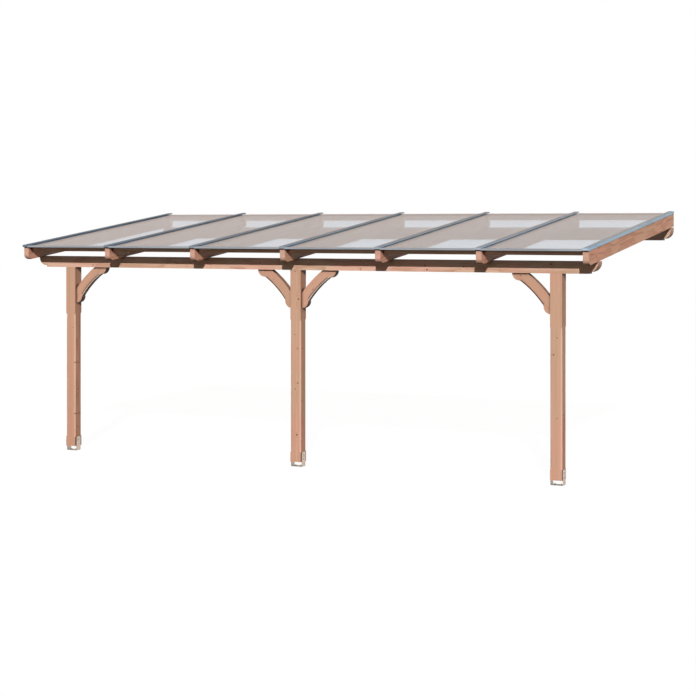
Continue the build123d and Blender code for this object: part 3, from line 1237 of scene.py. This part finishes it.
@dataclass
class Braces:
    """The four curved braces and the screws that hold them."""

    arris: float = 2.0 * MM
    wood: BraceTimber = BraceTimber()
    first_seed: int = 11
    centre_offset: float = 891.7 * MM
    screw_angles: Pair = (38.0, 52.0)
    screw_half_spacing: float = 17.0 * MM
    screw: SmallScrew = SmallScrew()
    braces: dict[str, tuple[Grain, Knot]] = field(
        default_factory=lambda: {
            "brace_left_post_right_side": (Grain.LEAN_RIGHT, front_knot(-2.63, -0.56, 4.5)),
            "brace_middle_post_left_side": (Grain.LEAN_LEFT, front_knot(-0.27, -0.47, 4.5)),
            "brace_middle_post_right_side": (Grain.LEAN_RIGHT, front_knot(0.191, -0.569, 8.0)),
            "brace_right_post_left_side": (Grain.LEAN_LEFT, front_knot(2.452, -0.395, 6.0)),
        }
    )
    # Painted chamfer light per lean: a highlight on braces that lean right, painted shade on those that
    # lean left.
    edges: dict[Grain, Colour] = field(
        default_factory=lambda: {
            Grain.LEAN_RIGHT: (1.50, 1.95, 2.20),
            Grain.LEAN_LEFT: (0.16, 0.12, 0.10),
        }
    )

    def build(self) -> list[Piece]:
        """Dresses the braces and adds their screws.

        Returns:
            The finished objects.
        """
        made = []
        shape = Shape()
        for seed, (node, (grain, knot)) in enumerate(self.braces.items(), start=self.first_seed):
            side = 1.0 if grain is Grain.LEAN_RIGHT else -1.0
            centre = self.hollow_centre(node, side)
            wood = replace(self.wood, painted_chamfer_light=self.edges[grain], arc_centre=tuple(centre))
            made.append(timber_piece(node, grain, seed, self.arris, [knot], wood))
            self.add_screws(shape, centre, side)
        zinc = ZINC_PLATED.material("screw_zinc")
        made.append(shape.to_object("brace_screws", zinc))
        return made

    def hollow_centre(self, node: str, side: float) -> Vector:
        """Finds the centre of the arc of a brace's hollow edge.

        Args:
            node: Name of the brace.
            side: The way it leans out, 1 to the right and -1 to the left.

        Returns:
            The centre, half way through the brace's thickness.
        """
        low, high = corners(node)
        corner = Vector((low.x if side > 0 else high.x, (low.y + high.y) / 2, high.z))
        return corner + Vector((side * self.centre_offset, 0.0, -self.centre_offset))

    def add_screws(self, shape: Shape, centre: Vector, side: float) -> None:
        """Adds the screw heads on the arc of one brace.

        Args:
            shape: Shape to add to.
            centre: Centre of the arc.
            side: The way the brace leans out, 1 to the right and -1 to the left.
        """
        for degrees in self.screw_angles:
            angle = math.radians(degrees)
            way = Vector((side * math.cos(angle), 0.0, -math.sin(angle)))
            for offset in (-self.screw_half_spacing, self.screw_half_spacing):
                place = centre - way * self.wood.arc_radius + Vector((0.0, offset, 0.0))
                self.screw.add_to(shape, facing(place, way))


@dataclass
class RoofTimbers:
    """Purlins, rafters and battens."""

    rafters: int = 7
    arris: float = 2.5 * MM
    front_seed: int = 21
    rear_seed: int = 22
    batten_seed: int = 31
    # Painted light: the rafters' side faces are lighter and warmer.
    rafter_wood: StainedTimber = StainedTimber(sides=(1.14, 0.98, 0.90))
    # Painted light: the battens' stain is lighter, standing in for brighter light under the eaves.
    batten_wood: StainedTimber = StainedTimber(pinkish=(1.30, 1.20, 1.16), tan=(1.22, 1.24, 1.14))
    scatter: KnotScatter = KnotScatter()
    purlin_knots: tuple[Knot, ...] = (
        front_knot(-2.520, -0.343, 8.0),
        front_knot(-1.31, -0.352, 4.0),
        front_knot(-0.42, -0.30, 5.0),
        front_knot(0.746, -0.346, 6.0),
        front_knot(0.779, -0.285, 6.0),
        front_knot(1.454, -0.305, 7.0),
        front_knot(1.478, -0.348, 9.0),
        front_knot(1.866, -0.316, 7.0),
        front_knot(2.773, -0.280, 9.0),
    )

    def build(self) -> list[Piece]:
        """Dresses the roof timbers.

        Returns:
            The dressed objects.
        """
        low, high = corners("wall_purlin")
        middle = (low + high) / 2
        left, right = Vector((low.x, *middle.yz)), Vector((high.x, *middle.yz))
        half = (high.z - low.z) / 2
        rear = self.scatter.along(left, right, half, Branch.FRONT_TO_BACK, self.rear_seed)
        made = [
            timber_piece("front_purlin", Grain.ACROSS, self.front_seed, self.arris, self.purlin_knots),
            timber_piece("wall_purlin", Grain.ACROSS, self.rear_seed, self.arris, rear),
        ]
        made += [self.dress_rafter(number) for number in range(1, self.rafters + 1)]
        for seed, name in enumerate(("eaves_battens", "wall_battens"), start=self.batten_seed):
            made.append(timber_piece(name, Grain.ACROSS, seed, self.arris, (), self.batten_wood))
        return made

    def dress_rafter(self, number: int) -> Piece:
        """Dresses one rafter.

        Args:
            number: Number of the rafter from the left.

        Returns:
            The rafter.
        """
        low, high = corners(f"rafter_{number}")
        seed = self.rear_seed + number
        depth = high.y - low.y
        half = (high.z - low.z - depth * math.tan(PITCH)) / 2
        rear = Vector(((low.x + high.x) / 2, high.y, high.z - half))
        front = rear - Vector((0.0, depth, depth * math.tan(PITCH)))
        knots = self.scatter.along(front, rear, half, Branch.SIDE_TO_SIDE, seed)
        return timber_piece(f"rafter_{number}", Grain.SLOPE, seed, self.arris, knots, self.rafter_wood)


@dataclass
class Glazing:
    """Clear sheets, aluminium rails and channels, and the seals and screws on them."""

    rails: int = 7
    rail_top: float = 26.0 * MM
    rail_half_width: float = 30.0 * MM
    sheet_top: float = 15.0 * MM
    seal_radius: float = 1.6 * MM
    seal_sides: int = 8
    seal_start: float = 80.0 * MM
    screw_spacing: float = 0.45
    screw_front: float = 0.18
    screw_rear: float = 0.20
    screw: SmallScrew = SmallScrew(4.2 * MM, 1.4 * MM, 1.8 * MM)

    def build(self) -> list[Piece]:
        """Dresses the glazing and adds its seals and screws.

        Returns:
            The finished objects.
        """
        metal = RAIL_ALUMINIUM.material("rail_aluminium")
        sheet = ClearSheet().material("clear_plastic")
        rubber = SealRubber().material("seal_rubber")
        made = [dress(f"glazing_rail_{n}", metal) for n in range(1, self.rails + 1)]
        made.append(dress("front_channels", CHANNEL_ALUMINIUM.material("channel_aluminium")))
        made.append(dress("rear_channels", PALE_ALUMINIUM.material("pale_aluminium")))
        made += [dress(f"roof_sheet_{n}", sheet) for n in range(1, self.rails)]
        made += [dress(name, rubber) for name in ("rafter_gaskets", "batten_gaskets")]
        made.append(self.make_seals(rubber))
        made.append(self.make_screws(ZINC_PLATED.material("rail_screw_zinc")))
        return made

    def rafter_line(self, number: int) -> tuple[Vector, float]:
        """Finds the rear end of a rafter's top face.

        Args:
            number: Number of the rafter from the left.

        Returns:
            The middle of the face's rear edge, and the length of the face down the slope.
        """
        low, high = corners(f"rafter_{number}")
        rear = Vector(((low.x + high.x) / 2, high.y, high.z))
        return rear, (high.y - low.y) / math.cos(PITCH)

    def make_seals(self, material: Material) -> Piece:
        """Makes the thin seals between the rails' long edges and the sheets.

        Args:
            material: Their finish.

        Returns:
            The seals as one piece.
        """
        slope, up = (Vector(way) for way in Grain.SLOPE.value)
        shape = Shape()
        for number in range(1, self.rails + 1):
            rear, length = self.rafter_line(number)
            run = length - self.seal_start
            profile = [(0, 0), (self.seal_radius, 0), (self.seal_radius, run), (0, run)]
            for side, bay in ((-1, number - 1), (1, number)):
                if 1 <= bay < self.rails:
                    aside = Vector((side * (self.rail_half_width + self.seal_radius / 2), 0.0, 0.0))
                    start = rear + aside + up * self.sheet_top - slope * self.seal_start
                    shape.turn(profile, self.seal_sides, facing(start, -slope))
        return shape.to_object("rail_seals", material)

    def make_screws(self, material: Material) -> Piece:
        """Makes the screw heads along the rails.

        Args:
            material: Their finish.

        Returns:
            The screws as one piece.
        """
        slope, up = (Vector(way) for way in Grain.SLOPE.value)
        shape = Shape()
        for number in range(1, self.rails + 1):
            rear, length = self.rafter_line(number)
            run = length - self.screw_front - self.screw_rear
            count = round(run / self.screw_spacing)
            for index in range(count + 1):
                down = self.screw_rear + run * index / count
                self.screw.add_to(shape, facing(rear + up * self.rail_top - slope * down, up))
        return shape.to_object("rail_screws", material)


@dataclass(frozen=True)
class Sun:
    """A far lamp: the direction from the object to it, its strength, and the width of its disc in
    degrees, which softens its shadows."""

    name: str
    to_light: Point
    strength: float
    angle: float

    def on_floor(self) -> float:
        """Gives the lamp's light on a level surface."""
        return self.strength * Vector(self.to_light).normalized().z

    def build(self) -> None:
        """Makes the lamp."""
        light = bpy.data.lights.new(self.name, "SUN")
        light.energy = self.strength
        light.angle = math.radians(self.angle)
        light.cycles.use_multiple_importance_sampling = False
        lamp = place_object(self.name, light)
        lamp.rotation_mode = "QUATERNION"
        lamp.rotation_quaternion = Vector(self.to_light).to_track_quat("Z", "Y")


@dataclass
class Studio:
    """Pale floor, soft light and the camera."""

    ground: float
    suns: tuple[Sun, ...] = (
        Sun("key", to_light=(0.4425, -1.0, 0.562), strength=3.45, angle=0.8),
        Sun("rear_fill", to_light=(-0.75, 0.65, 0.12), strength=1.5, angle=15.0),
    )
    ambient: Colour = (0.300, 0.239, 0.193)
    right_share: float = 0.2
    mirrored: Colour = (1.03, 0.83, 0.735)
    sky: Colour = (1.0, 1.15, 1.30)
    sky_range: Range = (0.0, 0.3)
    floor_half: float = 60.0
    floor_shade: float = 0.035
    floor_white: float = 1.004
    camera_x: float = 8.0612
    camera_from_wall: float = 18.0712
    camera_height: float = 2.4924
    camera_turn: float = 0.4688
    sensor: float = 36.0
    lens: float = 86.69
    shift: Pair = (0.0404, -0.1753)
    far_clip: float = 200.0

    def build(self) -> None:
        """Makes the floor, the light and the camera."""
        self.make_world()
        self.make_floor()
        for sun in self.suns:
            sun.build()
        self.make_camera()

    def make_world(self) -> None:
        """Makes a white surround that lights the object softly, a little more from the right."""
        world = bpy.data.worlds.new("surround")
        world.use_nodes = True
        graph = Graph(world.node_tree)
        side = graph.dot(graph.add("TexCoord").outputs["Generated"], RIGHT)
        level = graph.math("MULTIPLY_ADD", side, self.right_share, 1.0)
        soft = graph.add("VectorMath", {0: self.ambient, "Scale": level}, operation="SCALE").outputs[0]
        glossy = graph.add("LightPath").outputs["Is Glossy Ray"]
        reflected = graph.mix(graph.fade(side, *self.sky_range), self.mirrored, self.sky)
        seen = graph.mix(glossy, WHITE, reflected)
        colour = graph.mix(graph.plain_sight(), soft, seen)
        graph.close("Background", {"Color": colour}, "OutputWorld")
        bpy.context.scene.world = world

    def make_floor(self) -> None:
        """Makes the floor, white to the camera with a faint shadow on it."""
        material, graph = new_material("pale_floor")
        shade = self.floor_shade
        lit = sum(sun.on_floor() for sun in self.suns) / math.pi + sum(self.ambient) / 3
        glow = graph.math("MULTIPLY", graph.plain_sight(), self.floor_white - shade * lit)
        own = graph.add("Emission", {"Strength": glow}).outputs[0]
        matt = graph.add("BsdfDiffuse", {"Color": (shade, shade, shade, 1.0)}).outputs[0]
        graph.close("AddShader", {0: own, 1: matt})
        h, z = self.floor_half, self.ground
        mesh = bpy.data.meshes.new("floor")
        mesh.from_pydata([(-h, -h, z), (h, -h, z), (h, h, z), (-h, h, z)], [], [(0, 1, 2, 3)])
        mesh.materials.append(material)
        place_object("floor", mesh)

    def make_camera(self) -> None:
        """Makes the camera at the photograph's place."""
        data = bpy.data.cameras.new("camera")
        data.sensor_width = self.sensor
        data.lens = self.lens
        data.shift_x, data.shift_y = self.shift
        data.clip_end = self.far_clip
        camera = place_object("camera", data)
        camera.location = (self.camera_x, -self.camera_from_wall, self.ground + self.camera_height)
        camera.rotation_euler = (math.pi / 2, 0.0, self.camera_turn)
        bpy.context.scene.camera = camera


def main() -> None:
    """Builds the patio cover's looks in order and reports each piece."""
    logging.basicConfig(level=logging.INFO, format="%(name)s: %(message)s")
    bpy.context.scene.view_settings.view_transform = "Standard"
    assemblies = {
        "posts": PostRow(),
        "braces": Braces(),
        "roof timbers": RoofTimbers(),
        "glazing": Glazing(),
    }
    for title, assembly in assemblies.items():
        for piece in assembly.build():
            LOG.info("%s: %s", title, piece.name)
    Studio(ground=CAD_BOX[0].z).build()


if __name__ == "__main__":
    main()
